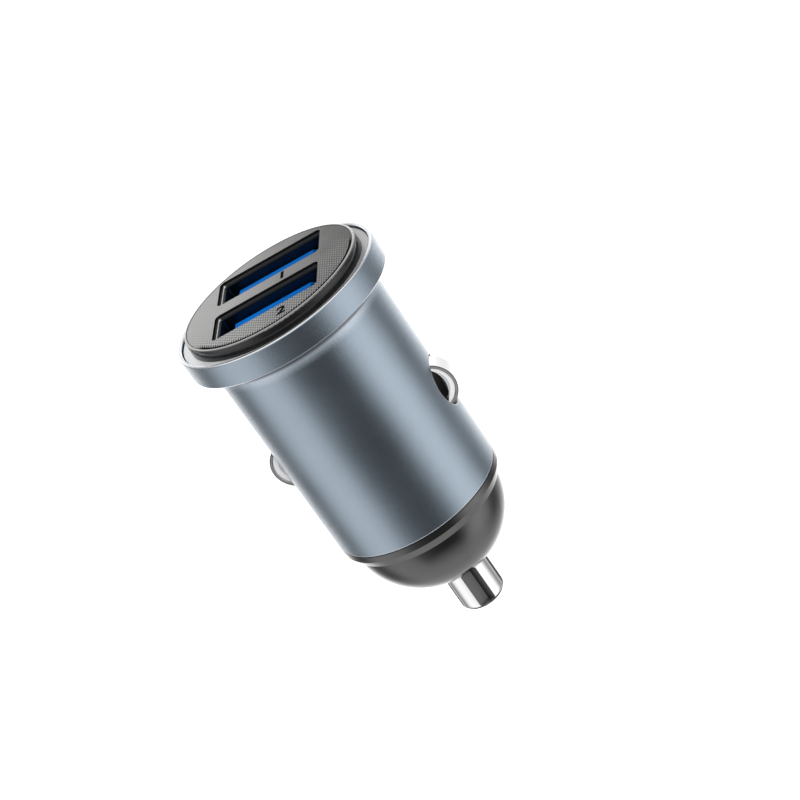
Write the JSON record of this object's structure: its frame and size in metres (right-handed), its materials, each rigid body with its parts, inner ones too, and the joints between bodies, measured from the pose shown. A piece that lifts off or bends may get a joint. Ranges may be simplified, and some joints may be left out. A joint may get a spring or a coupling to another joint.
{
  "type": "car usb charger plug",
  "caption": "Car charger plug for a round socket: flanged head with USB ports and a light ring, metal barrel with sprung side contacts, domed nose with a sprung centre pin.",
  "frame": {"origin": "on the barrel's axis in the plane of the flange seat, the flat underside of the head", "axes": "+Z along the barrel's axis, up out of the socket to the face with the ports; +X along the long side of the ports and through the right side contact; +Y across the ports"},
  "size_m": [0.025, 0.025, 0.0468],
  "materials": {
    "shell_metal": "blue grey anodised, polished and slightly satin",
    "trim_metal": "black nickel, polished",
    "light_pipe": "translucent, satin",
    "gloss_black": "high gloss",
    "plate_grey": "fine dot texture, satin",
    "port_steel": "nickel plated, slightly dull",
    "port_blue": "moulded, satin",
    "gold_contact": "gold plated",
    "board_green": "solder mask, satin",
    "inner_black": "moulded, matt",
    "contact_steel": "polished nickel",
    "spring_steel": "bright wire",
    "nose_black": "moulded, satin",
    "pin_chrome": "polished",
    "tin": "tinned",
    "lamp_body": "moulded, satin",
    "ferrite": "matt",
    "can_aluminium": "drawn, satin",
    "chip_black": "matt",
    "ceramic_tan": "matt"
  },
  "bodies": {
    "housing": {"shell": "shell_metal", "light_ring": "light_pipe", "face_collar": "gloss_black", "face_plate": "plate_grey", "port_board": "board_green", "main_board": "board_green", "contact_carrier": "inner_black", "contact_leaf_right": "spring_steel", "contact_leaf_left": "spring_steel", "trim_ring": "trim_metal", "nose_cap": "nose_black", "pin_spring": "spring_steel", "pin_terminal": "tin", "led_right": "lamp_body", "led_left": "lamp_body", "inductor": "ferrite", "input_capacitor": "can_aluminium", "output_capacitor": "can_aluminium", "controller_chip": "chip_black", "diode": "chip_black", "ceramic_capacitors": "ceramic_tan", "usb_sleeve_1": "port_steel", "usb_sleeve_2": "port_steel", "usb_insulator_1": "port_blue", "usb_insulator_2": "port_blue", "usb_terminals_1": "gold_contact", "usb_terminals_2": "gold_contact"},
    "pin": {"centre_pin": "pin_chrome"},
    "right_contact": {"contact_right": "contact_steel"},
    "left_contact": {"contact_left": "contact_steel"}
  },
  "joints": [
    {"name": "pin_slide", "type": "slide", "parent": "housing", "child": "pin", "axis": [0, 0, 1], "range_m": [0, 0.002], "stiffness_N_per_m": 1500, "springref_m": -0.002, "deforming": ["pin_spring"]},
    {"name": "contact_right_slide", "type": "slide", "parent": "housing", "child": "right_contact", "axis": [-1, 0, 0], "range_m": [0, 0.0015], "stiffness_N_per_m": 2000, "springref_m": -0.001, "deforming": ["contact_leaf_right"]},
    {"name": "contact_left_slide", "type": "slide", "parent": "housing", "child": "left_contact", "axis": [1, 0, 0], "range_m": [0, 0.0015], "stiffness_N_per_m": 2000, "springref_m": -0.001, "deforming": ["contact_leaf_left"]}
  ]
}
